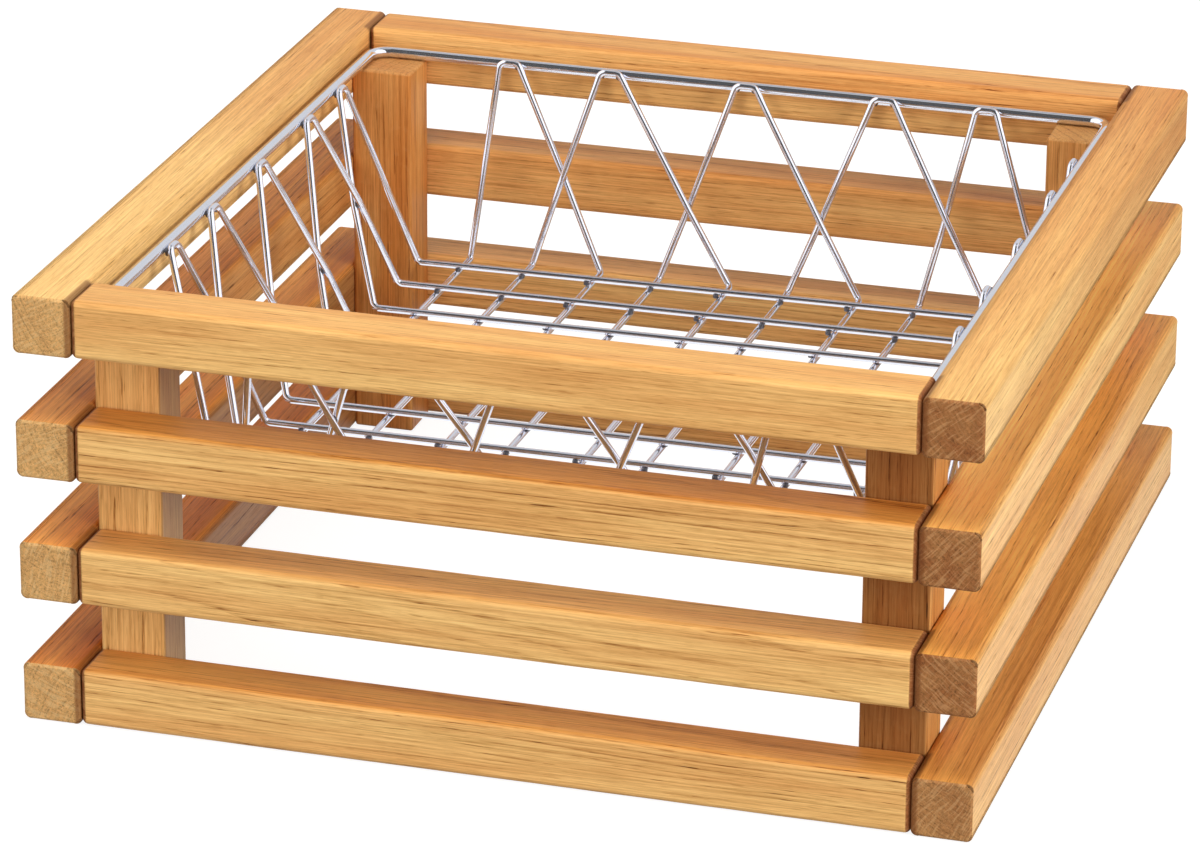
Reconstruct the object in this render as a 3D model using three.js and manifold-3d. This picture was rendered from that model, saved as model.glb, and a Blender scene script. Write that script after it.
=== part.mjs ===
// Slatted oak crate with a lift-out chromed wire basket.
// Millimetres, +Z up, front of the crate towards -Y, right side towards +X.
// Origin on the ground under the middle of the crate.
import * as THREE from 'three';
import { RoundedBoxGeometry } from 'three/addons/geometries/RoundedBoxGeometry.js';
import { mergeVertices } from 'three/addons/utils/BufferGeometryUtils.js';
import Module from 'manifold-3d';

const wasm = await Module();
wasm.setup();

// ---------------------------------------------------------------- crate
const CRATE_W = 400; // outside, along X and along Y: the crate is square
const SLAT = 25; // slat section, 25 x 25
const SLAT_EASE = 2.7; // rounding of every slat edge and end
const TIERS = 4;
const TIER_PITCH = 161 / 3; // from one slat's top to the next one's top
const CRATE_H = (TIERS - 1) * TIER_PITCH + SLAT; // 186
const POST_X = 28; // corner post section
const POST_Y = 25;
const POST_EASE = 1.8;
const POST_TOP = 174; // the posts end 12 mm under the top edge
const DOWEL_R = 4; // beech dowel, 8 x 30
const DOWEL_L = 30;
const DOWEL_IN_SIDE = 16; // how far the dowel reaches into the side slat
const BORE_GAP = 0.3; // glue room round the dowel
const BORE_END = 0.5; // glue room past its ends

// ---------------------------------------------------------------- basket
const RIM_R = 2.5; // rim rod, 5 mm
const RIM_AT = 171; // rim centreline, from the middle
const RIM_Z = 176.65; // rim centreline: the rod rests on the posts
const RIM_CORNER = 9; // bend radius at the rim's corners
const WIRE_R = 1.5; // mesh wire, 3 mm
const TOP_BEND = 3.5; // bend radius beside the flat top
const FLOOR_BEND = 6; // bend radius where the floor turns up into a wall
const BEND_IN = 3.6; // the bend starts this far in from the wall
const BEND_UP = 3.4; // and ends this far above the floor
const CROSS = 1.65; // how far a wall wire stands in or out where two cross

// wires that run along Y: they lie under the others
const Y_FLOOR_Z = 89.15;
const Y_PITCH = 30.07;
const Y_FIRST_BACK = -117.3; // the first wire's X at the back wall
const Y_FIRST_FRONT = -121.7; // and at the front wall: the mesh is a little askew
const Y_WALL = 147.6; // the front and back walls' wires at the floor
const Y_TOPS = [-105.5, -57.9, 5.4, 69.1, 115.8];
const Y_TOP_AT = 167.1; // loop tops: welded to the rim's inner side
const Y_TOP_Z = 178.2; // centreline of the flat tops
const Y_TOP_HALF = 4.3; // half a flat top's width, between its sharp corners
// wires that run along X: they lie on top
const X_FLOOR_Z = 92.3;
const X_LEFT = [128.3, 98.6, 68.3, 37.8, 11.2, -22, -48.3, -78.3, -107, -136.3]; // their Y at the left wall
const X_RIGHT = [135, 102.8, 74, 43.6, 16, -17.2, -45.5, -75.4, -105.2, -135]; // and at the right wall
const X_WALL_LEFT = -138; // the left wall's wires at the floor
const X_WALL_RIGHT = 162; // and the right wall's, which stand almost upright
const X_TOPS = [112.1, 67.9, 5, -54.5, -103.1];
const X_TOP_AT = 166.85;
const X_TOP_Z = 177.2;
const X_TOP_HALF = 3.8;
// each loop carries two floor wires, and neighbouring loops interlace
const PAIRS = [[1, 3], [2, 5], [4, 7], [6, 9], [8, 10]];

// ---------------------------------------------------------------- looks
const OAK = [0xdcae72, 0xe0b57a, 0xd6a66a, 0xe3bd86];
const oak = (i) => new THREE.MeshStandardMaterial({ color: OAK[i % OAK.length], roughness: 0.62, metalness: 0 });
const beech = () => new THREE.MeshStandardMaterial({ color: 0xd9b48a, roughness: 0.7, metalness: 0 });
const chrome = () => new THREE.MeshStandardMaterial({ color: 0xd9dce4, roughness: 0.08, metalness: 1 });

// ---------------------------------------------------------------- helpers
const crate = new THREE.Group();
const basket = new THREE.Group();
const root = new THREE.Group();
root.add(crate, basket);

function add(group, name, geometry, material, position) {
  const mesh = new THREE.Mesh(geometry, material);
  mesh.name = name;
  if (position) mesh.position.set(...position);
  group.add(mesh);
  return mesh;
}

function toSolid(geometry) {
  const g = geometry.clone();
  g.deleteAttribute('normal');
  g.deleteAttribute('uv');
  const m = mergeVertices(g, 1e-4);
  return new wasm.Manifold(new wasm.Mesh({
    numProp: 3,
    vertProperties: new Float32Array(m.attributes.position.array),
    triVerts: new Uint32Array(m.index.array),
  }));
}

function toGeometry(solid) {
  const mesh = solid.getMesh();
  const g = new THREE.BufferGeometry();
  g.setAttribute('position', new THREE.BufferAttribute(new Float32Array(mesh.vertProperties), 3));
  g.setIndex(new THREE.BufferAttribute(new Uint32Array(mesh.triVerts), 1));
  g.computeVertexNormals();
  return g;
}

// a round bore along X from x0 to x1 at (y, z) of the piece's own frame
function boreX(x0, x1, y, z) {
  const g = new THREE.CylinderGeometry(DOWEL_R + BORE_GAP, DOWEL_R + BORE_GAP, x1 - x0, 12);
  g.rotateZ(Math.PI / 2);
  g.translate((x0 + x1) / 2, y, z);
  return toSolid(g);
}

const eased = (x, y, z, r) => new RoundedBoxGeometry(x, y, z, 1, r);

// ---------------------------------------------------------------- slats
const half = CRATE_W / 2;
const inner = half - SLAT; // 175: inner faces of the four sides
const middle = half - SLAT / 2; // 187.5: slat centrelines
const tierZ = (t) => CRATE_H - SLAT / 2 - (t - 1) * TIER_PITCH; // tier 1 is the top one
const crossLen = CRATE_W - 2 * SLAT; // 350: front and back slats fit between the side slats

for (let t = 1; t <= TIERS; t++) {
  for (const [side, sx] of [['left', -1], ['right', 1]]) {
    let solid = toSolid(eased(SLAT, CRATE_W, SLAT, SLAT_EASE));
    for (const sy of [-1, 1]) {
      // blind bore, open towards the inside of the crate
      const a = -sx * (SLAT / 2 + 1);
      const b = sx * (-SLAT / 2 + DOWEL_IN_SIDE + BORE_END);
      solid = solid.subtract(boreX(Math.min(a, b), Math.max(a, b), sy * middle, 0));
    }
    add(crate, `slat_${side}_${t}`, toGeometry(solid), oak(t + (sx > 0 ? 1 : 0)), [sx * middle, 0, tierZ(t)]);
  }
  for (const [side, sy] of [['front', -1], ['back', 1]]) {
    let solid = toSolid(eased(crossLen, SLAT, SLAT, SLAT_EASE));
    for (const sx of [-1, 1]) {
      const a = sx * (crossLen / 2 + 1);
      const b = sx * (crossLen / 2 - (DOWEL_L - DOWEL_IN_SIDE) - BORE_END);
      solid = solid.subtract(boreX(Math.min(a, b), Math.max(a, b), 0, 0));
    }
    add(crate, `slat_${side}_${t}`, toGeometry(solid), oak(t + (sy > 0 ? 2 : 3)), [0, sy * middle, tierZ(t)]);
  }
}

// ---------------------------------------------------------------- posts and dowels
for (const [yName, sy] of [['front', -1], ['back', 1]]) {
  for (const [xName, sx] of [['left', -1], ['right', 1]]) {
    add(crate, `post_${yName}_${xName}`, eased(POST_X, POST_Y, POST_TOP, POST_EASE), oak(sx + sy + 2),
      [sx * (inner - POST_X / 2), sy * (inner - POST_Y / 2), POST_TOP / 2]);
    for (let t = 1; t <= TIERS; t++) {
      const dowel = new THREE.CylinderGeometry(DOWEL_R, DOWEL_R, DOWEL_L, 12);
      dowel.rotateZ(Math.PI / 2);
      add(crate, `dowel_${yName}_${xName}_${t}`, dowel, beech(),
        [sx * (inner + DOWEL_IN_SIDE - DOWEL_L / 2), sy * middle, tierZ(t)]);
    }
  }
}

// ---------------------------------------------------------------- bent wire
// A closed run through stations, with the tangent of a mitred joint at each one.
class WirePath extends THREE.Curve {
  constructor(stations) {
    super();
    this.stations = stations;
  }
  station(i) {
    const n = this.stations.length;
    return this.stations[((i % n) + n) % n];
  }
  getPoint(t, target = new THREE.Vector3()) {
    const s = t * this.stations.length;
    const i = Math.floor(s + 1e-9);
    return target.lerpVectors(this.station(i), this.station(i + 1), Math.max(0, s - i));
  }
  getPointAt(u, target) {
    return this.getPoint(u, target);
  }
  getTangent(t, target = new THREE.Vector3()) {
    const i = Math.round(t * this.stations.length);
    const before = this.station(i).clone().sub(this.station(i - 1)).normalize();
    const after = this.station(i + 1).clone().sub(this.station(i)).normalize();
    return target.copy(before).add(after).normalize();
  }
  getTangentAt(u, target) {
    return this.getTangent(u, target);
  }
}

// Rounds the corners of a closed polygon: each corner is [point, bend radius, steps],
// and one with no radius stays a plain station.
function bend(corners) {
  const out = [];
  corners.forEach(([p, r, steps], i) => {
    if (!r) {
      out.push(p.clone());
      return;
    }
    const a = corners[(i + corners.length - 1) % corners.length][0];
    const b = corners[(i + 1) % corners.length][0];
    const u = a.clone().sub(p).normalize();
    const v = b.clone().sub(p).normalize();
    const halfAngle = u.angleTo(v) / 2;
    const axis = u.clone().add(v).normalize();
    const centre = p.clone().addScaledVector(axis, r / Math.sin(halfAngle));
    const start = p.clone().addScaledVector(u, r / Math.tan(halfAngle)).sub(centre);
    const end = p.clone().addScaledVector(v, r / Math.tan(halfAngle)).sub(centre);
    const turn = start.angleTo(end);
    for (let k = 0; k <= steps; k++) {
      const w = k / steps;
      out.push(centre.clone()
        .addScaledVector(start, Math.sin((1 - w) * turn) / Math.sin(turn))
        .addScaledVector(end, Math.sin(w * turn) / Math.sin(turn)));
    }
  });
  return out;
}

// an endless wire: a ring of tube with no ends
function ring(corners, r, sides) {
  const stations = bend(corners);
  return new THREE.TubeGeometry(new WirePath(stations), stations.length, r, sides, true);
}

// ---------------------------------------------------------------- rim
const rimCorners = [[-1, -1], [1, -1], [1, 1], [-1, 1]].map(([sx, sy]) => [
  new THREE.Vector3(sx * RIM_AT, sy * RIM_AT, RIM_Z), RIM_CORNER, 5]);
add(basket, 'basket_rim', ring(rimCorners, RIM_R, 12), chrome());

// ---------------------------------------------------------------- loops
// A loop in a frame of its own: u across the floor wires, v along them, z up.
// floor: for each of its two wires, the u at the low wall and at the high wall. top: the flat
// tops' u, at v = topAt and z = topZ. low, high: the v of the walls at the floor. cross: for
// each wall and wire, how far up and how far out that wire crosses a neighbour, or null.
// extra: one more station, which keeps a wall wire off a post.
function loop({ floor, z, top, topHalf, topAt, topZ, low, high, cross, extra, place }) {
  const leg = (i, s) => {
    // one wall wire, from the floor upwards; s is the wall, -1 low and +1 high
    const wall = s > 0 ? 1 : 0;
    const from = [floor[i][wall], wall ? high : low, z + BEND_UP];
    const to = [top + (i ? topHalf : -topHalf), s * topAt, topZ];
    const rise = [to[0] - from[0], to[1] - from[1], to[2] - from[2]];
    const run = [[[from[0], from[1] - s * BEND_IN, z], FLOOR_BEND, 2], [from, FLOOR_BEND, 2]];
    if (extra && extra.side === i) {
      const w = (extra.z - from[2]) / rise[2];
      run.push([[from[0] + rise[0] * w, s * extra.v, extra.z], 0, 0]);
    }
    if (cross[wall][i]) {
      const [w, out] = cross[wall][i];
      // the wall's outward normal, square to the rise and level along u
      const n = [s * rise[2], -s * rise[1]];
      const k = out / Math.hypot(...n);
      run.push([[from[0] + rise[0] * w, from[1] + rise[1] * w + k * n[0], from[2] + rise[2] * w + k * n[1]], 0, 0]);
    }
    run.push([to, TOP_BEND, 3]);
    return run;
  };
  const corners = [
    ...leg(0, 1), // up the high wall on the lower-u side
    ...leg(1, 1).reverse(), // down it on the other side
    ...leg(1, -1), // along the floor and up the low wall
    ...leg(0, -1).reverse(), // and back to the floor
  ];
  return ring(corners.map(([p, r, steps]) => [place(...p), r, steps]), WIRE_R, 8);
}

// How far up a wall the wires of loop k and loop k + 1 cross, 0 at the floor and 1 at the top.
function crossing(floors, tops, topHalf, k, wall) {
  const apart = floors[k][1][wall] - floors[k + 1][0][wall];
  return apart / (apart + tops[k + 1] - tops[k] - 2 * topHalf);
}

// The five loops that run one way. sides: for each loop's wire on the lower-u and on the
// higher-u side, 1 where it passes outside its neighbour and -1 where it passes inside.
function loops(name, floors, tops, sides, rest) {
  floors.forEach((floor, k) => {
    const cross = [0, 1].map((wall) => [
      k > 0 ? [crossing(floors, tops, rest.topHalf, k - 1, wall), CROSS * sides[k][0]] : null,
      k < floors.length - 1 ? [crossing(floors, tops, rest.topHalf, k, wall), CROSS * sides[k][1]] : null,
    ]);
    const extra = rest.extra && rest.extra.loop === k + 1 ? rest.extra : null;
    add(basket, `${name}_${k + 1}`, loop({ ...rest, floor, top: tops[k], cross, extra }), chrome());
  });
}

// along Y, numbered from the left; the last wire keeps clear of the right-hand posts
loops('basket_loop_y',
  PAIRS.map((pair) => pair.map((i) => [Y_FIRST_FRONT, Y_FIRST_BACK].map((x) => x + Y_PITCH * (i - 1)))),
  Y_TOPS,
  [[0, 1], [-1, -1], [1, -1], [1, -1], [1, 0]],
  {
    z: Y_FLOOR_Z, low: -Y_WALL, high: Y_WALL,
    topHalf: Y_TOP_HALF, topAt: Y_TOP_AT, topZ: Y_TOP_Z,
    extra: { loop: 5, side: 1, z: 113.5, v: 148.1 },
    place: (u, v, z) => new THREE.Vector3(u, v, z),
  });

// along X, numbered from the back: u runs to the front, so that it grows with the number
loops('basket_loop_x',
  PAIRS.map((pair) => pair.map((i) => [-X_LEFT[i - 1], -X_RIGHT[i - 1]])),
  X_TOPS.map((y) => -y),
  [[0, 1], [-1, 1], [-1, 1], [-1, 1], [-1, 0]],
  {
    z: X_FLOOR_Z, low: X_WALL_LEFT, high: X_WALL_RIGHT,
    topHalf: X_TOP_HALF, topAt: X_TOP_AT, topZ: X_TOP_Z,
    place: (u, v, z) => new THREE.Vector3(v, -u, z),
  });

export default root;
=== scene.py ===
import math

import bmesh
import bpy
import numpy as np
from mathutils import Matrix, Vector, noise


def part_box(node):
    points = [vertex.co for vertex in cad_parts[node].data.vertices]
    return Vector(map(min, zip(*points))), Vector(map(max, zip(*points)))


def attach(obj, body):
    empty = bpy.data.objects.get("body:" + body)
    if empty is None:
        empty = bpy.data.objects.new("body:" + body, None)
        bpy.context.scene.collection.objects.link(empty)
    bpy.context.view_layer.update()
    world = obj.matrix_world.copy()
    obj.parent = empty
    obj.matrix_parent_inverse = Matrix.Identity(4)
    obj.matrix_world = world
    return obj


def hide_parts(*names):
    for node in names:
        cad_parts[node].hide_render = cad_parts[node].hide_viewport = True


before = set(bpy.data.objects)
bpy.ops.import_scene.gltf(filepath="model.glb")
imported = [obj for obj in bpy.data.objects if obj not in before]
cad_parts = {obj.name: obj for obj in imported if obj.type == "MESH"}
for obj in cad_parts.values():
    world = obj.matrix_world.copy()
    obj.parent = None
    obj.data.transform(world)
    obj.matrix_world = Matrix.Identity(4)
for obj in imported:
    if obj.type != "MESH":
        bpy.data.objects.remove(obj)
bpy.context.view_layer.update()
MM = 0.001
scene = bpy.context.scene

# ------------------------------------------------------------------ camera
AZ, EL, ROLL = -0.2854093840, 0.3791897181, 0.0070703962
forward = Vector((math.sin(AZ) * math.cos(EL), math.cos(AZ) * math.cos(EL), -math.sin(EL)))
right = forward.cross(Vector((0, 0, 1))).normalized()
up = right.cross(forward)
cam_x = right * math.cos(ROLL) + up * math.sin(ROLL)
cam_y = -right * math.sin(ROLL) + up * math.cos(ROLL)
camera = bpy.data.objects.new("camera", bpy.data.cameras.new("camera"))
scene.collection.objects.link(camera)
camera.matrix_world = Matrix.Translation((0.6372711, -2.2140651, 0.9946021)) @ Matrix(
    (cam_x, cam_y, -forward)).transposed().to_4x4()
camera.data.sensor_width = 36
camera.data.sensor_fit = "HORIZONTAL"
camera.data.lens = 5782.7818 / 1200 * 36
camera.data.clip_start, camera.data.clip_end = 0.05, 60
scene.camera = camera
scene.view_settings.view_transform = "Standard"
scene.view_settings.look = "None"


# ------------------------------------------------------------------ node helpers
class Net:
    """Short ways to wire nodes. A value is a number, a tuple or another node's output."""

    def __init__(self, tree):
        self.tree, self.nodes, self.links = tree, tree.nodes, tree.links

    def put(self, kind, **props):
        node = self.nodes.new(kind)
        for k, v in props.items():
            setattr(node, k, v)
        return node

    def feed(self, socket, value):
        if isinstance(value, bpy.types.NodeSocket):
            self.links.new(value, socket)
        elif value is not None:
            socket.default_value = value

    def math(self, op, a, b=None, c=None, clamp=False):
        n = self.put("ShaderNodeMath", operation=op, use_clamp=clamp)
        for i, v in enumerate((a, b, c)):
            self.feed(n.inputs[i], v)
        return n.outputs[0]

    def vmath(self, op, a, b=None):
        n = self.put("ShaderNodeVectorMath", operation=op)
        self.feed(n.inputs[0], a)
        self.feed(n.inputs[1], b)
        return n.outputs["Value"] if op in ("LENGTH", "DOT_PRODUCT") else n.outputs[0]

    def split(self, v):
        n = self.put("ShaderNodeSeparateXYZ")
        self.feed(n.inputs[0], v)
        return n.outputs[0], n.outputs[1], n.outputs[2]

    def join(self, x, y, z):
        n = self.put("ShaderNodeCombineXYZ")
        for i, v in enumerate((x, y, z)):
            self.feed(n.inputs[i], v)
        return n.outputs[0]

    def noise(self, vector, size=(1, 1, 1), detail=2.0, rough=0.5):
        """size is in units of the vector for one turn of the pattern."""
        n = self.put("ShaderNodeTexNoise", noise_dimensions="3D")
        self.feed(n.inputs["Vector"], self.vmath("DIVIDE", vector, size))
        n.inputs["Scale"].default_value = 1.0
        n.inputs["Detail"].default_value = detail
        n.inputs["Roughness"].default_value = rough
        return n

    def ramp(self, v, a, b, lo=0.0, hi=1.0, kind="SMOOTHSTEP"):
        n = self.put("ShaderNodeMapRange", interpolation_type=kind)
        for i, x in enumerate((v, a, b, lo, hi)):
            self.feed(n.inputs[i], x)
        return n.outputs[0]

    def mix(self, f, a, b, blend="MIX"):
        n = self.put("ShaderNodeMix", data_type="RGBA", blend_type=blend)
        n.clamp_factor = True
        self.feed(n.inputs[0], f)
        self.feed(n.inputs[6], a)
        self.feed(n.inputs[7], b)
        return n.outputs[2]

    def grey(self, v):
        return self.join(v, v, v)


def srgb(r, g, b):
    def one(c):
        c /= 255
        return c / 12.92 if c <= 0.04045 else ((c + 0.055) / 1.055) ** 2.4
    return one(r), one(g), one(b), 1.0


# ------------------------------------------------------------------ oak
# Wood as a solid: growth rings round a pith that lies off to the side, vessels as long thin
# tubes crowded in each ring's early wood, and rays as thin radial sheets. Local X is the grain.
def oak_group():
    g = bpy.data.node_groups.new("oak_solid", "ShaderNodeTree")
    for name, kind, value in (
        ("Vector", "NodeSocketVector", None), ("Face", "NodeSocketVector", None),
        ("Seed", "NodeSocketFloat", 0.0), ("Pith Y", "NodeSocketFloat", 40.0), ("Pith Z", "NodeSocketFloat", -90.0),
        ("Tilt Y", "NodeSocketFloat", 0.0), ("Tilt Z", "NodeSocketFloat", 0.0), ("Ring", "NodeSocketFloat", 2.8),
        ("Contrast", "NodeSocketFloat", 1.0), ("Deep", "NodeSocketFloat", 0.4), ("Tone", "NodeSocketFloat", 1.0),
        ("End Tone", "NodeSocketFloat", 0.5), ("End Share", "NodeSocketFloat", 1.0),
        ("Half", "NodeSocketFloat", 200.0), ("Inner", "NodeSocketFloat", 0.0),
        ("Drift", "NodeSocketFloat", 0.0), ("Top Shade", "NodeSocketFloat", 0.0), ("Top Light", "NodeSocketFloat", 0.0),
        ("Face Shade", "NodeSocketFloat", 0.0), ("Face Shade Way", "NodeSocketVector", (0.0, -1.0, 0.0)),
    ):
        s = g.interface.new_socket(name, in_out="INPUT", socket_type=kind)
        if value is not None:
            s.default_value = value
    for name, kind in (("Color", "NodeSocketColor"), ("Roughness", "NodeSocketFloat"), ("Height", "NodeSocketFloat")):
        g.interface.new_socket(name, in_out="OUTPUT", socket_type=kind)
    n = Net(g)
    i = n.put("NodeGroupInput").outputs
    vec = i["Vector"]
    shift = n.vmath("MULTIPLY", n.grey(i["Seed"]), (137.3, 53.9, 91.1))
    at = n.vmath("ADD", vec, shift)
    x, y, z = n.split(vec)

    # the grain wanders
    _, wy, wz = n.split(n.vmath("SUBTRACT", n.noise(at, (190, 34, 34), 1.5).outputs["Color"], (0.5, 0.5, 0.5)))
    _, vy, vz = n.split(n.vmath("SUBTRACT", n.noise(at, (46, 7, 7), 2.0).outputs["Color"], (0.5, 0.5, 0.5)))
    yy = n.math("SUBTRACT", n.math("MULTIPLY_ADD", wy, 9.0, y), n.math("MULTIPLY_ADD", x, i["Tilt Y"], i["Pith Y"]))
    zz = n.math("SUBTRACT", n.math("MULTIPLY_ADD", wz, 9.0, z), n.math("MULTIPLY_ADD", x, i["Tilt Z"], i["Pith Z"]))
    yy = n.math("MULTIPLY_ADD", vy, 1.1, yy)
    zz = n.math("MULTIPLY_ADD", vz, 1.1, zz)
    r = n.vmath("LENGTH", n.join(yy, zz, 0.0))
    angle = n.math("ARCTAN2", zz, yy)

    # rings of uneven width
    uneven = n.math("MULTIPLY", n.math("SINE", n.math("MULTIPLY_ADD", r, 0.19, i["Seed"])), 0.55)
    uneven = n.math("MULTIPLY_ADD", n.math("SINE", n.math("MULTIPLY_ADD", r, 0.47, i["Seed"])), 0.22, uneven)
    phase = n.math("ADD", n.math("DIVIDE", r, i["Ring"]), uneven)
    f = n.math("FRACT", phase)
    year = n.math("FLOOR", phase)
    w = n.put("ShaderNodeTexWhiteNoise", noise_dimensions="1D")
    n.feed(w.inputs["W"], n.math("ADD", year, i["Seed"]))
    strength = n.ramp(w.outputs["Value"], 0, 1, 0.35, 1.0, "LINEAR")
    early = n.math("MULTIPLY", n.ramp(f, 0.0, 0.06), n.ramp(f, 0.10, 0.36, 1.0, 0.0))
    broken = n.ramp(n.noise(n.vmath("ADD", at, (3, 17, 29)), (26, 1.1, 1.1), 2.0).outputs["Fac"], 0.36, 0.62, 0.30, 1.0)
    early = n.math("MULTIPLY", early, n.math("MULTIPLY", strength, broken))
    late = n.ramp(f, 0.5, 0.98)

    # vessels, fibres, hairlines
    pores = n.ramp(n.noise(at, (10, 0.50, 0.50), 1.0).outputs["Fac"], 0.55, 0.68)
    pores = n.math("MULTIPLY", pores, n.math("MULTIPLY_ADD", early, 0.8, 0.2))
    ticks = n.ramp(n.noise(at, (5.5, 0.42, 0.42), 0.0).outputs["Fac"], 0.60, 0.72)
    fibre = n.math("SUBTRACT", n.noise(at, (40, 0.70, 0.70), 4.0, 0.66).outputs["Fac"], 0.5)
    hair = n.ramp(n.noise(n.vmath("ADD", at, (31, 7, 3)), (120, 1.5, 1.5), 1.0).outputs["Fac"], 0.58, 0.70)
    broad = n.noise(at, (210, 11, 11), 2.0).outputs["Fac"]
    cloud = n.math("SUBTRACT", n.noise(at, (60, 20, 20), 2.0).outputs["Fac"], 0.5)

    # rays: thin across, short along the grain, deep towards the pith
    polar = n.join(n.math("MULTIPLY", angle, 80.0), x, r)
    ray_noise = n.noise(n.vmath("ADD", polar, shift), (0.7, 4.5, 7), 1.0).outputs["Fac"]
    ray = n.ramp(ray_noise, 0.58, 0.70)
    end_ray = n.ramp(n.noise(n.vmath("ADD", polar, shift), (0.75, 400, 9), 1.0).outputs["Fac"], 0.50, 0.62)
    cross_ray = n.ramp(n.noise(n.vmath("ADD", polar, shift), (7, 400, 0.8), 1.0).outputs["Fac"], 0.52, 0.64)

    # colour along the grain
    light, deep = srgb(247, 200, 127), srgb(211, 132, 62)
    depth = n.math("MULTIPLY_ADD", n.math("DIVIDE", x, 200.0), i["Drift"], i["Deep"])
    side = n.mix(n.math("ADD", n.ramp(broad, 0.3, 0.7, -0.20, 0.20, "LINEAR"), depth, clamp=True), light, deep)
    c = i["Contrast"]
    dark = n.math("MULTIPLY", n.math("MULTIPLY", early, c), 0.58)
    dark = n.math("MULTIPLY_ADD", n.math("MULTIPLY", late, c), 0.09, dark)
    dark = n.math("MULTIPLY_ADD", n.math("MULTIPLY", hair, c), 0.20, dark)
    dark = n.math("MULTIPLY_ADD", pores, 0.60, dark)
    dark = n.math("MULTIPLY_ADD", ticks, 0.10, dark)
    tone = n.math("SUBTRACT", 1.06, dark)
    tone = n.math("MULTIPLY_ADD", fibre, 1.45, tone)
    tone = n.math("MULTIPLY_ADD", cloud, 0.26, tone)
    tone = n.math("MULTIPLY", tone, i["Tone"])
    # darker wood is also redder: green and blue fall faster
    tint = n.join(n.math("POWER", tone, 0.72), tone, n.math("POWER", tone, 1.32))
    side = n.mix(1.0, side, tint, "MULTIPLY")
    side = n.mix(n.math("MULTIPLY", ray, 0.05), side, srgb(248, 204, 138))

    # colour across the grain: browner, with ring arcs and pale rays crossing them
    end = n.mix(n.math("ADD", i["End Tone"], n.ramp(broad, 0.3, 0.7, -0.12, 0.12, "LINEAR"), clamp=True),
                srgb(150, 92, 52), srgb(224, 174, 110))
    fleck = n.noise(at, (90, 1.15, 1.15), 3.0, 0.68).outputs["Fac"]
    end_tone = n.math("SUBTRACT", 1.02, n.math("MULTIPLY", n.math("MULTIPLY_ADD", early, 0.8, 0.1), 0.40))
    end_tone = n.math("MULTIPLY_ADD", n.math("SUBTRACT", fleck, 0.5), 1.35, end_tone)
    end_tone = n.math("SUBTRACT", end_tone, n.math("MULTIPLY", ticks, 0.32))
    end = n.mix(1.0, end, n.grey(end_tone), "MULTIPLY")
    pale = n.math("ADD", n.math("MULTIPLY", end_ray, 0.38), n.math("MULTIPLY", cross_ray, 0.14))
    end = n.mix(pale, end, n.mix(i["End Tone"], srgb(206, 154, 102), srgb(240, 204, 146)))

    fx, _, fz = n.split(i["Face"])
    # painted shade: the upper faces are darkened and warmed, most on the lower tiers, for the shadow of the tier above
    # and the warm light bounced under it
    top_shade_mask = n.math("MULTIPLY", n.ramp(fz, 0.35, 0.95), i["Top Shade"])
    side = n.mix(top_shade_mask, side, n.mix(1.0, side, (0.84, 0.62, 0.36, 1), "MULTIPLY"))
    # painted light: the upper faces are lightened and warmed, for the light that reaches the tops of the lower side
    # slats
    top_light_mask = n.math("MULTIPLY", n.ramp(fz, 0.35, 0.95), i["Top Light"])
    side = n.mix(top_light_mask, side, n.mix(1.0, side, (1.35, 1.25, 0.86, 1), "MULTIPLY"))
    # painted shade: a face is darkened for the shade that falls on it, such as a face turned to the inside
    face_shade = n.math("MULTIPLY", n.ramp(n.vmath("DOT_PRODUCT", i["Face"], i["Face Shade Way"]), 0.45, 0.95), i["Face Shade"])
    side = n.mix(face_shade, side, n.mix(1.0, side, (0.50, 0.43, 0.42, 1), "MULTIPLY"))
    across = n.math("MULTIPLY", n.ramp(n.math("ABSOLUTE", fx), 0.15, 0.42), i["End Share"])
    color = n.mix(across, side, end)
    # partly painted shade: the grooves where two slats meet are darkened for the shade that falls in them; partly real,
    # as the end grain of the eased ends takes up more oil
    far = n.math("ABSOLUTE", x)
    butt = n.ramp(far, n.math("SUBTRACT", i["Half"], 2.2), n.math("SUBTRACT", i["Half"], 0.1))
    butt = n.math("MULTIPLY", butt, n.math("SUBTRACT", 1.0, n.math("ABSOLUTE", i["Inner"])))
    lip = n.math("MULTIPLY", n.ramp(n.math("MULTIPLY", y, i["Inner"]), 9.2, 10.8), n.ramp(far, 173.0, 176.5))
    groove = n.math("MULTIPLY", n.math("MAXIMUM", butt, lip), n.math("MULTIPLY_ADD", fleck, 0.5, 0.45), clamp=True)
    color = n.mix(n.math("MULTIPLY", groove, 0.95), color, srgb(116, 62, 28))

    rough = n.math("MULTIPLY_ADD", pores, 0.22, 0.47)
    rough = n.math("MULTIPLY_ADD", fibre, 0.20, rough)
    rough = n.math("MULTIPLY_ADD", across, 0.24, rough)
    height = n.math("MULTIPLY", pores, -0.8)
    height = n.math("MULTIPLY_ADD", early, -0.30, height)
    height = n.math("MULTIPLY_ADD", fibre, 0.55, height)
    height = n.math("MULTIPLY_ADD", ray, 0.12, height)
    height = n.math("SUBTRACT", height, n.math("MULTIPLY", n.math("MULTIPLY", ticks, across), 0.8))
    o = n.put("NodeGroupOutput")
    n.feed(o.inputs["Color"], color)
    n.feed(o.inputs["Roughness"], rough)
    n.feed(o.inputs["Height"], height)
    return g


OAK = oak_group()


def blank(name):
    m = bpy.data.materials.new(name)
    m.use_nodes = True
    n = Net(m.node_tree)
    shader = m.node_tree.nodes["Principled BSDF"]
    return m, n, shader


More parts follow.
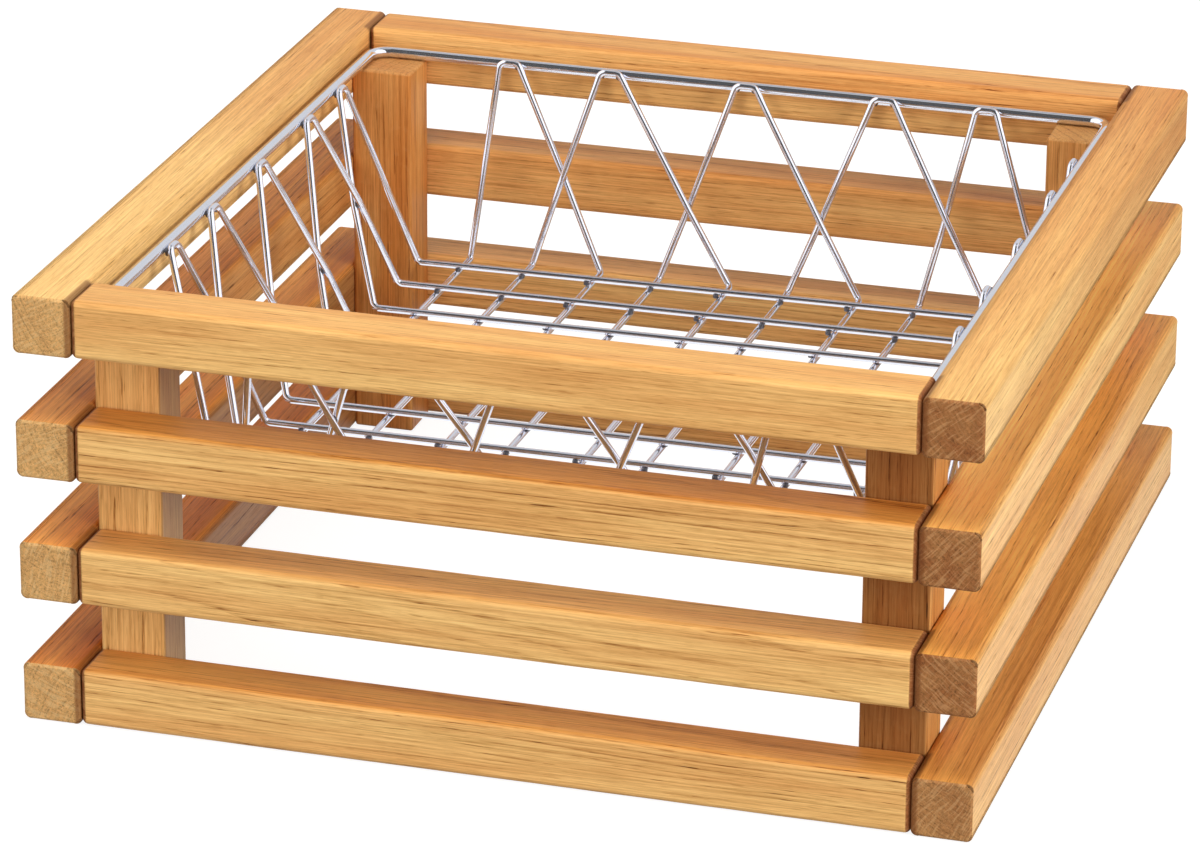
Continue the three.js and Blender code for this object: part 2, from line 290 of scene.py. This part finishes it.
def oak(name, seed, pith, tilt=(0.0, 0.0), ring=2.8, contrast=1.0, deep=0.4, tone=1.0, end_tone=0.5,
        end_share=1.0, half=200.0, inner=0.0, drift=0.0, top_shade=0.0, glow=0.0,
        face_shade=0.0, face_shade_way=(0.0, -1.0, 0.0)):
    m, n, shader = blank(name)
    at = n.put("ShaderNodeTexCoord")
    g = n.put("ShaderNodeGroup", node_tree=OAK)
    n.feed(g.inputs["Vector"], n.vmath("MULTIPLY", at.outputs["Object"], (1000, 1000, 1000)))
    n.feed(g.inputs["Face"], at.outputs["Normal"])
    for k, v in (("Seed", seed), ("Pith Y", pith[0]), ("Pith Z", pith[1]), ("Tilt Y", tilt[0]), ("Tilt Z", tilt[1]),
                 ("Ring", ring), ("Contrast", contrast), ("Deep", deep), ("Tone", tone), ("End Tone", end_tone),
                 ("End Share", end_share), ("Half", half), ("Inner", inner), ("Drift", drift), ("Top Shade", top_shade), ("Top Light", glow),
                 ("Face Shade", face_shade), ("Face Shade Way", face_shade_way)):
        g.inputs[k].default_value = v
    n.feed(shader.inputs["Base Color"], g.outputs["Color"])
    n.feed(shader.inputs["Roughness"], g.outputs["Roughness"])
    b = n.put("ShaderNodeBump")
    b.inputs["Strength"].default_value = 0.55
    b.inputs["Distance"].default_value = 0.00022
    n.feed(b.inputs["Height"], g.outputs["Height"])
    n.feed(shader.inputs["Normal"], b.outputs["Normal"])
    shader.inputs["Coat Weight"].default_value = 0.04
    shader.inputs["Coat Roughness"].default_value = 0.34
    shader.inputs["Specular IOR Level"].default_value = 0.26
    return m


def beech():
    """The dowels: pale close-grained rod with short brown flecks and pressed flutes."""
    m, n, shader = blank("beech_dowel")
    p = n.vmath("MULTIPLY", n.put("ShaderNodeTexCoord").outputs["Object"], (1000, 1000, 1000))
    fibre = n.noise(p, (24, 0.7, 0.7), 4.0, 0.6).outputs["Fac"]
    fleck = n.ramp(n.noise(p, (2.6, 0.35, 0.35), 0.0).outputs["Fac"], 0.60, 0.70)
    color = n.mix(n.ramp(fibre, 0.3, 0.7, kind="LINEAR"), srgb(226, 188, 146), srgb(205, 160, 116))
    color = n.mix(n.math("MULTIPLY", fleck, 0.5), color, srgb(160, 108, 70))
    n.feed(shader.inputs["Base Color"], color)
    n.feed(shader.inputs["Roughness"], n.ramp(fibre, 0.3, 0.7, 0.6, 0.78, "LINEAR"))
    b = n.put("ShaderNodeBump")
    b.inputs["Strength"].default_value = 0.5
    b.inputs["Distance"].default_value = 0.0002
    n.feed(b.inputs["Height"], n.math("SUBTRACT", fibre, fleck))
    n.feed(shader.inputs["Normal"], b.outputs["Normal"])
    return m


def chrome(name, color, rough, wear):
    """Bright plate over drawn wire: faint draw lines along it, a soft orange peel and a few dull specks."""
    m, n, shader = blank(name)
    a = n.put("ShaderNodeAttribute", attribute_name="along")
    along = a.outputs["Vector"]
    p = n.vmath("MULTIPLY", n.put("ShaderNodeTexCoord").outputs["Object"], (1000, 1000, 1000))
    lines = n.noise(along, (60, 0.35, 0.35), 3.0, 0.6).outputs["Fac"]
    peel = n.noise(p, (2.4, 2.4, 2.4), 2.0).outputs["Fac"]
    dull = n.ramp(n.noise(p, (7, 7, 7), 4.0, 0.65).outputs["Fac"], 0.52, 0.75)
    speck = n.ramp(n.noise(p, (0.7, 0.7, 0.7), 1.0).outputs["Fac"], 0.68, 0.78)
    tint = n.mix(n.math("MULTIPLY", dull, wear), color, tuple(c * 0.80 for c in color[:3]) + (1,))
    tint = n.mix(n.math("MULTIPLY", speck, 0.35 * wear), tint, (0.30, 0.30, 0.32, 1))
    n.feed(shader.inputs["Base Color"], tint)
    r = n.math("MULTIPLY_ADD", dull, 0.10 * wear, rough)
    r = n.math("MULTIPLY_ADD", n.math("SUBTRACT", lines, 0.5), 0.06, r)
    n.feed(shader.inputs["Roughness"], n.math("MAXIMUM", r, 0.03))
    shader.inputs["Metallic"].default_value = 0.94
    b = n.put("ShaderNodeBump")
    b.inputs["Strength"].default_value = 0.12
    b.inputs["Distance"].default_value = 0.00003
    n.feed(b.inputs["Height"], n.math("MULTIPLY_ADD", lines, 0.35, peel))
    n.feed(shader.inputs["Normal"], b.outputs["Normal"])
    return m


WIRE = chrome("chrome_wire", (0.85, 0.87, 0.95, 1), 0.05, 0.25)
RIM = chrome("chrome_rim", (0.84, 0.87, 0.94, 1), 0.055, 0.25)
WELD = chrome("chrome_weld", (0.16, 0.16, 0.18, 1), 0.32, 1.0)
BEECH = beech()


# ------------------------------------------------------------------ wooden pieces
def link(name, mesh, matrix=None):
    o = bpy.data.objects.new(name, mesh)
    scene.collection.objects.link(o)
    if matrix is not None:
        o.matrix_world = matrix
    return o


def bar(name, length, width, height, ease, seed, bores=(), wobble=0.10, end_ease=1.3):
    """A planed bar along local X, in mm, with rounded edges that a hand sander has touched, and blind bores.
    bores: (x, y, z, direction, depth, radius), drilled into the bar along direction."""
    bm = bmesh.new()
    bmesh.ops.create_cube(bm, size=1.0)
    bmesh.ops.scale(bm, vec=(length, width, height), verts=bm.verts)
    if end_ease == ease:
        bmesh.ops.bevel(bm, geom=list(bm.edges), offset=ease, offset_type="OFFSET", segments=6, profile=0.5,
                        affect="EDGES", clamp_overlap=True)
    else:
        arris = [e for e in bm.edges if abs(e.verts[0].co.x - e.verts[1].co.x) > 1e-6]
        bmesh.ops.bevel(bm, geom=arris, offset=ease, offset_type="OFFSET", segments=6, profile=0.5, affect="EDGES")
        rims = [e for e in bm.edges if all(abs(abs(v.co.x) - length / 2) < 1e-4 for v in e.verts)]
        bmesh.ops.bevel(bm, geom=rims, offset=end_ease, offset_type="OFFSET", segments=4, profile=0.5, affect="EDGES")
    steps = max(8, int(length / 9))
    inner = length / 2 - max(ease, end_ease)
    for k in range(1, steps):
        bmesh.ops.bisect_plane(bm, geom=list(bm.verts) + list(bm.edges) + list(bm.faces), dist=1e-5,
                               plane_co=(-inner + 2 * inner * k / steps, 0, 0), plane_no=(1, 0, 0))
    bm.normal_update()
    hw, hh = width / 2, height / 2
    for v in bm.verts:
        # only the rounding moves: the flats stay flat
        ay, az, ax = abs(v.co.y) / hw, abs(v.co.z) / hh, abs(v.co.x) / (length / 2)
        flat = sum(q > 0.9999 for q in (ax, ay, az)) >= 1
        if flat:
            continue
        p = Vector((v.co.x / 26 + seed * 7.7, v.co.y / 9 + seed * 3.1, v.co.z / 9))
        v.co -= v.normal * wobble * max(0.0, 0.5 + noise.noise(p) + 0.5 * noise.noise(p * 3.1))
    bmesh.ops.scale(bm, vec=(MM, MM, MM), verts=bm.verts)
    mesh = bpy.data.meshes.new(name)
    bm.to_mesh(mesh)
    bm.free()
    o = link(name, mesh)
    cutters = []
    for j, (x, y, z, direction, depth, radius) in enumerate(bores):
        cb = bmesh.new()
        over = 2.0
        bmesh.ops.create_cone(cb, cap_ends=True, segments=36, radius1=radius * MM, radius2=radius * MM,
                              depth=(depth + over) * MM)
        d = Vector(direction)
        cb.transform(Matrix.Translation(Vector((x, y, z)) * MM + d * (depth - over) / 2 * MM)
                     @ d.to_track_quat("Z", "Y").to_matrix().to_4x4())
        cm = bpy.data.meshes.new(f"{name}_bore_{j}")
        cb.to_mesh(cm)
        cb.free()
        cutter = link(f"{name}_bore_{j}", cm)
        cutters.append(cutter)
        mod = o.modifiers.new(f"bore_{j}", "BOOLEAN")
        mod.operation, mod.object, mod.solver = "DIFFERENCE", cutter, "EXACT"
    wn = o.modifiers.new("flat_faces", "WEIGHTED_NORMAL")
    wn.mode, wn.weight, wn.keep_sharp = "FACE_AREA", 50, True
    for p in mesh.polygons:
        p.use_smooth = True
    settle(o)
    for cutter in cutters:
        data = cutter.data
        bpy.data.objects.remove(cutter)
        bpy.data.meshes.remove(data)
    return o


def settle(o):
    """Applies every modifier."""
    dg = bpy.context.evaluated_depsgraph_get()
    made = bpy.data.meshes.new_from_object(o.evaluated_get(dg), preserve_all_data_layers=True, depsgraph=dg)
    old = o.data
    made.name = o.name
    o.modifiers.clear()
    o.data = made
    bpy.data.meshes.remove(old)


ALONG_X = Matrix.Identity(4)
ALONG_Y = Matrix.Rotation(math.radians(90), 4, "Z")
ALONG_Z = Matrix.Rotation(math.radians(-90), 4, "Y")
EASE, BORE_R = 2.7, 4.3


def finish_bar(o, node, turn, material):
    lo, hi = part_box(node)
    o.matrix_world = Matrix.Translation((lo + hi) / 2) @ turn
    o.data.materials.clear()
    o.data.materials.append(material)
    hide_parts(node)
    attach(o, "crate")


# seed, pith (local y, z), tilt, ring width, contrast, deep, tone, end tone
# tone and deep differ between pieces partly as real wood does and partly as painted light and shade, set for the light
# each piece gets
LOOKS = {
    "front_1": dict(seed=1.7, pith=(38, -104), tilt=(0.00, 0.012), ring=2.9, contrast=0.45, deep=0.28, tone=1.00, top_shade=0.30),
    "front_2": dict(seed=2.9, pith=(22, -88), tilt=(0.00, 0.010), ring=2.6, contrast=0.95, deep=0.30, tone=1.00, top_shade=1.00),
    "front_3": dict(seed=4.3, pith=(66, -34), tilt=(0.05, 0.020), ring=3.1, contrast=0.80, deep=0.20, tone=1.02, top_shade=0.50),
    "front_4": dict(seed=5.1, pith=(40, 96), tilt=(0.00, -0.014), ring=2.7, contrast=0.85, deep=0.28, tone=1.02, top_shade=0.85),
    "back_1": dict(seed=6.4, pith=(30, -92), tilt=(0.00, 0.012), ring=3.0, contrast=0.60, deep=0.58, tone=1.04, top_shade=0.25),
    "back_2": dict(seed=7.7, pith=(-24, 84), tilt=(0.01, 0.020), ring=2.7, contrast=0.70, deep=0.64, tone=1.12),
    "back_3": dict(seed=8.2, pith=(34, -78), tilt=(0.02, 0.015), ring=2.8, contrast=0.70, deep=0.50, tone=1.16),
    "back_4": dict(seed=9.6, pith=(18, 95), tilt=(0.00, 0.010), ring=3.0, contrast=1.00, deep=0.66, tone=0.90),
    "left_1": dict(seed=11.3, pith=(-82, 58), tilt=(0.010, 0.03), ring=3.2, contrast=0.55, deep=0.18, tone=1.02, end_tone=0.95, drift=0.48, top_shade=0.15),
    "left_2": dict(seed=12.8, pith=(-76, 46), tilt=(0.015, 0.01), ring=2.7, contrast=0.75, deep=0.68, tone=1.04, end_tone=0.95, top_shade=0.50, face_shade=0.30, glow=0.35),
    "left_3": dict(seed=13.5, pith=(-30, 90), tilt=(0.010, 0.02), ring=2.9, contrast=0.75, deep=0.66, tone=1.08, end_tone=0.90, top_shade=0.50, face_shade=0.80, glow=0.75),
    "left_4": dict(seed=14.9, pith=(-90, -40), tilt=(0.010, 0.01), ring=3.0, contrast=0.75, deep=0.72, tone=1.05, end_tone=0.90, top_shade=0.90, face_shade=0.80, glow=0.40),
    "right_1": dict(seed=16.2, pith=(-62, 62), tilt=(0.02, 0.015), ring=2.8, contrast=0.50, deep=0.36, tone=1.01, end_tone=0.12, drift=0.35, top_shade=0.30),
    "right_2": dict(seed=17.6, pith=(-58, 74), tilt=(0.02, 0.010), ring=2.7, contrast=0.60, deep=0.32, tone=1.14, end_tone=0.12, top_shade=0.35, glow=0.55),
    "right_3": dict(seed=18.1, pith=(-70, -60), tilt=(0.01, 0.020), ring=2.9, contrast=0.60, deep=0.34, tone=1.08, end_tone=0.12, top_shade=0.65, glow=0.60),
    "right_4": dict(seed=19.4, pith=(-48, 84), tilt=(0.02, 0.010), ring=2.8, contrast=0.62, deep=0.32, tone=1.00, end_tone=0.30, top_shade=0.80, glow=0.25),
    # painted shade on the front posts: the front-left post darkens towards its top, in the shade of the front slat, and
    # on its face turned to the inside; the front-right post is set dark overall and darker still on its front face, set
    # back in the shade of the slats
    "post_front_left": dict(seed=21.5, pith=(-70, 40), tilt=(0.06, 0.02), ring=3.2, contrast=0.55, deep=0.10, tone=0.96, drift=0.60, face_shade=0.85, face_shade_way=(0.0, 0.0, -1.0)),
    "post_front_right": dict(seed=22.9, pith=(-20, 92), tilt=(0.00, 0.01), ring=2.6, contrast=0.90, deep=0.50, tone=0.66, face_shade=0.90),
    "post_back_left": dict(seed=23.3, pith=(-26, -86), tilt=(0.01, 0.01), ring=3.0, contrast=0.60, deep=0.85, tone=0.90),
    "post_back_right": dict(seed=24.7, pith=(-60, 70), tilt=(0.01, 0.02), ring=2.8, contrast=0.90, deep=0.62, tone=0.93),
}

for tier in (1, 2, 3, 4):
    for side, sx in (("left", -1), ("right", 1)):
        key = f"{side}_{tier}"
        # local Y is world -X, so the inner face of the left slat is at local -Y
        bores = [(x, sx * 12.5, 0, (0, -sx, 0), 16.5, BORE_R) for x in (-187.5, 187.5)]
        o = bar(f"oak_{key}", 400, 25, 25, EASE, LOOKS[key]["seed"], bores)
        finish_bar(o, f"slat_{key}", ALONG_Y, oak(f"oak_{key}", inner=float(sx), **LOOKS[key]))
    for side in ("front", "back"):
        key = f"{side}_{tier}"
        bores = [(s * 175, 0, 0, (-s, 0, 0), 14.5, BORE_R) for s in (-1, 1)]
        o = bar(f"oak_{key}", 350, 25, 25, EASE, LOOKS[key]["seed"], bores, end_ease=EASE)
        finish_bar(o, f"slat_{key}", ALONG_X, oak(f"oak_{key}", half=175.0, end_tone=0.0, **LOOKS[key]))
for key in ("post_front_left", "post_front_right", "post_back_left", "post_back_right"):
    # turned up: local X is world Z, local Z is world -X
    o = bar(f"oak_{key}", 174, 25, 28, 1.3, LOOKS[key]["seed"])
    finish_bar(o, key, ALONG_Z, oak(f"oak_{key}", half=900.0, end_share=0.4, **LOOKS[key]))
for name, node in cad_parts.items():
    if name.startswith("dowel_"):
        node.data.materials.clear()
        node.data.materials.append(BEECH)

# ------------------------------------------------------------------ basket: the routes, in mm, as built
RIM_R, RIM_AT, RIM_Z, RIM_CORNER = 2.5, 171.0, 176.65, 9.0
WIRE_R, TOP_BEND, FLOOR_BEND, BEND_UP, CROSS = 1.5, 3.3, 3.2, 3.4, 1.65
Y_FLOOR_Z, Y_PITCH, Y_FIRST_BACK, Y_FIRST_FRONT, Y_WALL = 89.15, 30.07, -117.3, -121.7, 147.6
Y_TOPS, Y_TOP_AT, Y_TOP_Z, Y_TOP_HALF = [-105.5, -57.9, 5.4, 69.1, 115.8], 167.1, 178.2, 4.3
X_FLOOR_Z = 92.3
X_LEFT = [128.3, 98.6, 68.3, 37.8, 11.2, -22, -48.3, -78.3, -107, -136.3]
X_RIGHT = [135, 102.8, 74, 43.6, 16, -17.2, -45.5, -75.4, -105.2, -135]
X_WALL_LEFT, X_WALL_RIGHT = -138.0, 162.0
X_TOPS, X_TOP_AT, X_TOP_Z, X_TOP_HALF = [112.1, 67.9, 5, -54.5, -103.1], 166.85, 177.2, 3.8
PAIRS = [[1, 3], [2, 5], [4, 7], [6, 9], [8, 10]]


def bend(corners):
    """Rounds a closed polygon's corners: each is (point, bend radius), radius 0 for a plain station."""
    out = []
    for k, (p, r) in enumerate(corners):
        if not r:
            out.append(p.copy())
            continue
        u = (corners[k - 1][0] - p).normalized()
        v = (corners[(k + 1) % len(corners)][0] - p).normalized()
        half = u.angle(v) / 2
        centre = p + (u + v).normalized() * (r / math.sin(half))
        start = p + u * (r / math.tan(half)) - centre
        end = p + v * (r / math.tan(half)) - centre
        turn = start.angle(end)
        steps = max(4, round(turn * r / 0.55))
        for j in range(steps + 1):
            w = j / steps
            out.append(centre + start * (math.sin((1 - w) * turn) / math.sin(turn))
                       + end * (math.sin(w * turn) / math.sin(turn)))
    return out


def walk(points, step=7.0):
    """Adds points along the straight stretches."""
    out = []
    for k, p in enumerate(points):
        q = points[(k + 1) % len(points)]
        count = max(1, math.ceil((q - p).length / step))
        out += [p.lerp(q, j / count) for j in range(count)]
    return out


def rod(name, corners, radius, material, seed, sides=24, sway=0.022):
    """A closed round rod along the bent route, with the slight unevenness of wire straightened from a coil."""
    pts = walk(bend(corners))
    pts = [p + sway * Vector((noise.noise(p / 23 + Vector((seed, 0, 0))), noise.noise(p / 23 + Vector((0, seed, 5))),
                              noise.noise(p / 23 + Vector((9, 0, seed))))) for p in pts]
    n = len(pts)
    tangents = [((pts[(k + 1) % n] - pts[k]).normalized() + (pts[k] - pts[k - 1]).normalized()).normalized() for k in range(n)]
    side = tangents[0].orthogonal().normalized()
    frames, length = [], [0.0]
    for k in range(n):
        if k:
            side = tangents[k - 1].rotation_difference(tangents[k]) @ side
            side = (side - tangents[k] * side.dot(tangents[k])).normalized()
            length.append(length[-1] + (pts[k] - pts[k - 1]).length)
        frames.append(side.copy())
    # the frame's twist over one turn is taken out evenly
    last = tangents[-1].rotation_difference(tangents[0]) @ frames[-1]
    twist = math.atan2(last.cross(frames[0]).dot(tangents[0]), last.dot(frames[0]))
    verts, along = [], []
    for k in range(n):
        t, s = tangents[k], frames[k]
        b = t.cross(s)
        off = twist * k / n
        for j in range(sides):
            a = 2 * math.pi * j / sides + off
            # the mitre keeps the rod round through a bend
            verts.append((pts[k] + (s * math.cos(a) + b * math.sin(a)) * radius) * MM)
            along.append((length[k], math.cos(a) * radius, math.sin(a) * radius))
    faces = [(k * sides + j, k * sides + (j + 1) % sides, (k + 1) % n * sides + (j + 1) % sides, (k + 1) % n * sides + j)
             for k in range(n) for j in range(sides)]
    mesh = bpy.data.meshes.new(name)
    mesh.from_pydata(verts, [], faces)
    mesh.update()
    attribute = mesh.attributes.new("along", "FLOAT_VECTOR", "POINT")
    attribute.data.foreach_set("vector", np.array(along, np.float32).ravel())
    for p in mesh.polygons:
        p.use_smooth = True
    mesh.materials.append(material)
    return link(name, mesh)


def wear_basket(o, node):
    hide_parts(node)
    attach(o, "basket")


wear_basket(rod("rim", [(Vector((sx * RIM_AT, sy * RIM_AT, RIM_Z)), RIM_CORNER)
                        for sx, sy in ((-1, -1), (1, -1), (1, 1), (-1, 1))], RIM_R, RIM, 3.3, sides=32, sway=0.03),
            "basket_rim")


def crossing(floors, tops, top_half, k, wall):
    apart = floors[k][1][wall] - floors[k + 1][0][wall]
    return apart / (apart + tops[k + 1] - tops[k] - 2 * top_half)


welds = []  # (centre, axes as columns, half sizes)


def loop(floor, z, top, top_half, top_at, top_z, low, high, cross, extra, place):
    def leg(i, s):
        wall = 1 if s > 0 else 0
        start = Vector((floor[i][wall], high if wall else low, z + BEND_UP))
        to = Vector((top + (top_half if i else -top_half), s * top_at, top_z))
        rise = to - start
        run = [(start - rise * (BEND_UP / rise.z), FLOOR_BEND)]
        if extra and extra["side"] == i:
            w = (extra["z"] - start.z) / rise.z
            run.append((Vector((start.x + rise.x * w, s * extra["v"], extra["z"])), 30.0))
        if cross[wall][i]:
            w, out = cross[wall][i]
            out_way = Vector((0, s * rise.z, -s * rise.y)).normalized()
            at = start + rise * w
            run.append((at + out_way * out, 60.0))
            if out > 0:
                welds.append(("wall", place(*at), place(*(at + out_way)) - place(*at), place(*(at + rise)) - place(*at)))
        run.append((to, TOP_BEND))
        return run
    for s in (-1, 1):
        mid = Vector((top, s * top_at, top_z))
        welds.append(("rim", place(*mid), place(*(mid + Vector((0, s, 0)))) - place(*mid), place(*(mid + Vector((1, 0, 0)))) - place(*mid)))
    corners = leg(0, 1) + leg(1, 1)[::-1] + leg(1, -1) + leg(0, -1)[::-1]
    return [(place(*p), r) for p, r in corners]


def loops(name, floors, tops, sides, extra, place, **rest):
    for k, floor in enumerate(floors):
        cross = [[
            (crossing(floors, tops, rest["top_half"], k - 1, wall), CROSS * sides[k][0]) if k > 0 else None,
            (crossing(floors, tops, rest["top_half"], k, wall), CROSS * sides[k][1]) if k < len(floors) - 1 else None,
        ] for wall in (0, 1)]
        corners = loop(floor=floor, top=tops[k], cross=cross, extra=extra if extra and extra["loop"] == k + 1 else None,
                       place=place, **rest)
        wear_basket(rod(f"wire_{name}_{k + 1}", corners, WIRE_R, WIRE, k * 5.1 + len(name) + (40 if name == "y" else 0)),
                    f"basket_loop_{name}_{k + 1}")


loops("y", [[[Y_FIRST_FRONT + Y_PITCH * (i - 1), Y_FIRST_BACK + Y_PITCH * (i - 1)] for i in pair] for pair in PAIRS],
      Y_TOPS, [[0, 1], [-1, -1], [1, -1], [1, -1], [1, 0]], {"loop": 5, "side": 1, "z": 113.5, "v": 148.1},
      lambda u, v, z: Vector((u, v, z)),
      z=Y_FLOOR_Z, low=-Y_WALL, high=Y_WALL, top_half=Y_TOP_HALF, top_at=Y_TOP_AT, top_z=Y_TOP_Z)
loops("x", [[[-X_LEFT[i - 1], -X_RIGHT[i - 1]] for i in pair] for pair in PAIRS],
      [-y for y in X_TOPS], [[0, 1], [-1, 1], [-1, 1], [-1, 1], [-1, 0]], None,
      lambda u, v, z: Vector((v, -u, z)),
      z=X_FLOOR_Z, low=X_WALL_LEFT, high=X_WALL_RIGHT, top_half=X_TOP_HALF, top_at=X_TOP_AT, top_z=X_TOP_Z)


# ------------------------------------------------------------------ welds
def bead(bm, centre, a, b, c, seed, layer):
    """A weld nugget: a lump squeezed out between two wires, waisted across its middle."""
    made = bmesh.ops.create_icosphere(bm, subdivisions=3, radius=1.0)
    for v in made["verts"]:
        d = v.co.normalized()
        lump = 1 + 0.10 * noise.noise(d * 1.9 + Vector((seed, 0, 0))) + 0.05 * noise.noise(d * 5.0 + Vector((0, seed, 0)))
        waist = 1 - 0.16 * math.exp(-(d.z / 0.35) ** 2)
        q = Vector((d.x * waist, d.y * waist, d.z)) * lump
        v[layer] = Vector((q.x * 2 + seed, q.y * 2, q.z * 2))
        v.co = (centre + a * q.x + b * q.y + c * q.z) * MM


def weld_piece(name, spots):
    bm = bmesh.new()
    layer = bm.verts.layers.float_vector.new("along")
    for k, (centre, a, b, c) in enumerate(spots):
        bead(bm, centre, a, b, c, k * 1.37 + len(name), layer)
    mesh = bpy.data.meshes.new(name)
    bm.to_mesh(mesh)
    bm.free()
    for p in mesh.polygons:
        p.use_smooth = True
    mesh.materials.append(WELD)
    o = link(name, mesh)
    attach(o, "basket")
    return o


spots = []
for i in range(10):
    for j in range(10):
        p = Vector((0, (X_LEFT[j] + X_RIGHT[j]) / 2, 0))
        for _ in range(4):
            t = (p.y + Y_WALL) / (2 * Y_WALL)
            p.x = Y_FIRST_FRONT + (Y_FIRST_BACK - Y_FIRST_FRONT) * t + Y_PITCH * i
            u = (p.x - X_WALL_LEFT) / (X_WALL_RIGHT - X_WALL_LEFT)
            p.y = X_LEFT[j] + (X_RIGHT[j] - X_LEFT[j]) * u
        k = i * 10 + j
        size = 1.0 + 0.18 * noise.noise(Vector((k * 0.77, 3.1, 0)))
        spots.append((Vector((p.x, p.y - 0.5, (Y_FLOOR_Z + X_FLOOR_Z) / 2 - 0.1)), Vector((1.35 * size, 0, 0)),
                      Vector((0, 1.55 * size, 0)), Vector((0, 0, 1.15 * size))))
weld_piece("welds_floor", spots)

wall_spots, rim_spots = [], []
for kind, at, out, run in welds:
    out = out.normalized()
    run = (run - out * run.dot(out)).normalized()
    across = out.cross(run)
    if kind == "wall":
        wall_spots.append((at, across * 1.55, run * 1.9, out * 0.95))
    else:
        rim_spots.append((at + out * 1.75 + Vector((0, 0, -0.75)), run * 4.2, out.cross(run) * 0.95, out * 0.95))
        for end in (-1, 1):
            size = 1.0 + 0.25 * noise.noise(at * 0.37 + run * end * 3.1)
            rim_spots.append((at + run * end * 4.1 + out * 0.7 + Vector((0, 0, -1.6)), run * 1.5 * size,
                              Vector((0, 0, 1.9 * size)), out * 1.55))
weld_piece("welds_wall", wall_spots)
weld_piece("welds_rim", rim_spots)


# ------------------------------------------------------------------ floor, light
def area(name, place, size, power, color=(1, 1, 1), aim=(0, 0, 0.09)):
    data = bpy.data.lights.new(name, "AREA")
    data.shape, data.size, data.size_y, data.energy, data.color = "RECTANGLE", size[0], size[1], power, color
    o = bpy.data.objects.new(name, data)
    scene.collection.objects.link(o)
    o.location = place
    o.rotation_mode = "QUATERNION"
    o.rotation_quaternion = (Vector(aim) - Vector(place)).to_track_quat("-Z", "Y")
    o.visible_glossy = False  # the wire mirrors the room, not the lamps
    return o


area("overhead", (-0.3, -0.40, 2.1), (1.4, 1.1), 21)
area("front_low", (-0.75, -2.35, 0.62), (1.4, 0.8), 17)
area("right_side", (2.4, -1.1, 0.95), (1.4, 1.1), 54)

floor_mesh = bpy.data.meshes.new("floor")
floor_mesh.from_pydata([(-9, -9, -0.0004), (9, -9, -0.0004), (9, 9, -0.0004), (-9, 9, -0.0004)], [], [(0, 1, 2, 3)])
floor = link("floor", floor_mesh)
fm, fnet, fshader = blank("floor_white")
fnet.nodes.remove(fshader)
paper = fnet.put("ShaderNodeBsdfDiffuse")
paper.inputs["Color"].default_value = (0.26, 0.25, 0.235, 1)
glow = fnet.put("ShaderNodeEmission")
seen = fnet.put("ShaderNodeLightPath")
# pale enough to read as white round the object, with a trace of its shadow
fnet.feed(glow.inputs["Strength"], fnet.ramp(seen.outputs["Is Camera Ray"], 0, 1, 0.04, 0.88, "LINEAR"))
both = fnet.put("ShaderNodeAddShader")
fnet.feed(both.inputs[0], paper.outputs[0])
fnet.feed(both.inputs[1], glow.outputs[0])
# in the wire it is white beside the object, grey behind it and dark in front of it
east, north, _ = fnet.split(fnet.put("ShaderNodeNewGeometry").outputs["Position"])
ahead = fnet.math("ADD", fnet.math("MULTIPLY", east, 0.07), fnet.math("MULTIPLY", north, -0.9975))
aside = fnet.math("ABSOLUTE", fnet.math("ADD", fnet.math("MULTIPLY", east, 0.9975), fnet.math("MULTIPLY", north, 0.07)))
front = fnet.math("MULTIPLY", fnet.ramp(ahead, 0.16, 0.24), fnet.ramp(fnet.math("SUBTRACT", aside, fnet.math("MULTIPLY", ahead, 0.46)), 0.02, 0.12, 1.0, 0.0))
white = fnet.math("MULTIPLY", fnet.ramp(ahead, -0.30, -0.18, 0.32, 1.10), fnet.math("MULTIPLY_ADD", front, -0.97, 1.0))
image = fnet.put("ShaderNodeEmission")
fnet.feed(image.inputs["Strength"], white)
pick = fnet.put("ShaderNodeMixShader")
fnet.feed(pick.inputs[0], seen.outputs["Is Glossy Ray"])
fnet.feed(pick.inputs[1], both.outputs[0])
fnet.feed(pick.inputs[2], image.outputs[0])
fnet.feed(fm.node_tree.nodes["Material Output"].inputs["Surface"], pick.outputs[0])
floor_mesh.materials.append(fm)

world = bpy.data.worlds.new("studio")
world.use_nodes = True
scene.world = world
wn = Net(world.node_tree)
way = wn.put("ShaderNodeTexCoord").outputs["Generated"]
east, north, high = wn.split(way)
soft = wn.math("ADD", wn.ramp(high, 0.06, 0.34, 0.03, 0.24), wn.ramp(high, 0.50, 0.75, 0.0, 0.24))
# what the chrome mirrors: bright tents on both sides, a grey backdrop, and the dark of the room in front
facing = wn.vmath("DOT_PRODUCT", wn.vmath("NORMALIZE", wn.join(east, north, 0.0)), (0.07, -0.9975, 0.0))
tents = wn.math("MULTIPLY", wn.ramp(facing, -0.75, -0.35, 0.72, 1.35), wn.ramp(high, 0.80, 0.95, 1.0, 0.45))
room = wn.math("MULTIPLY", wn.ramp(wn.math("ABSOLUTE", wn.math("SUBTRACT", east, 0.04)), 0.34, 0.42, 1.0, 0.0),
               wn.math("MULTIPLY", wn.ramp(north, -0.03, -0.14), wn.ramp(high, 0.985, 0.93)))
mirror = wn.math("MULTIPLY", tents, wn.math("MULTIPLY_ADD", room, -0.97, 1.0))
level = wn.mix(wn.put("ShaderNodeLightPath").outputs["Is Glossy Ray"], wn.vmath("MULTIPLY", wn.grey(soft), (1.08, 1.02, 0.92)),
               wn.vmath("MULTIPLY", wn.grey(mirror), (0.97, 0.97, 1.0)))
background = world.node_tree.nodes["Background"]
wn.feed(background.inputs["Color"], level)
background.inputs["Strength"].default_value = 1.0
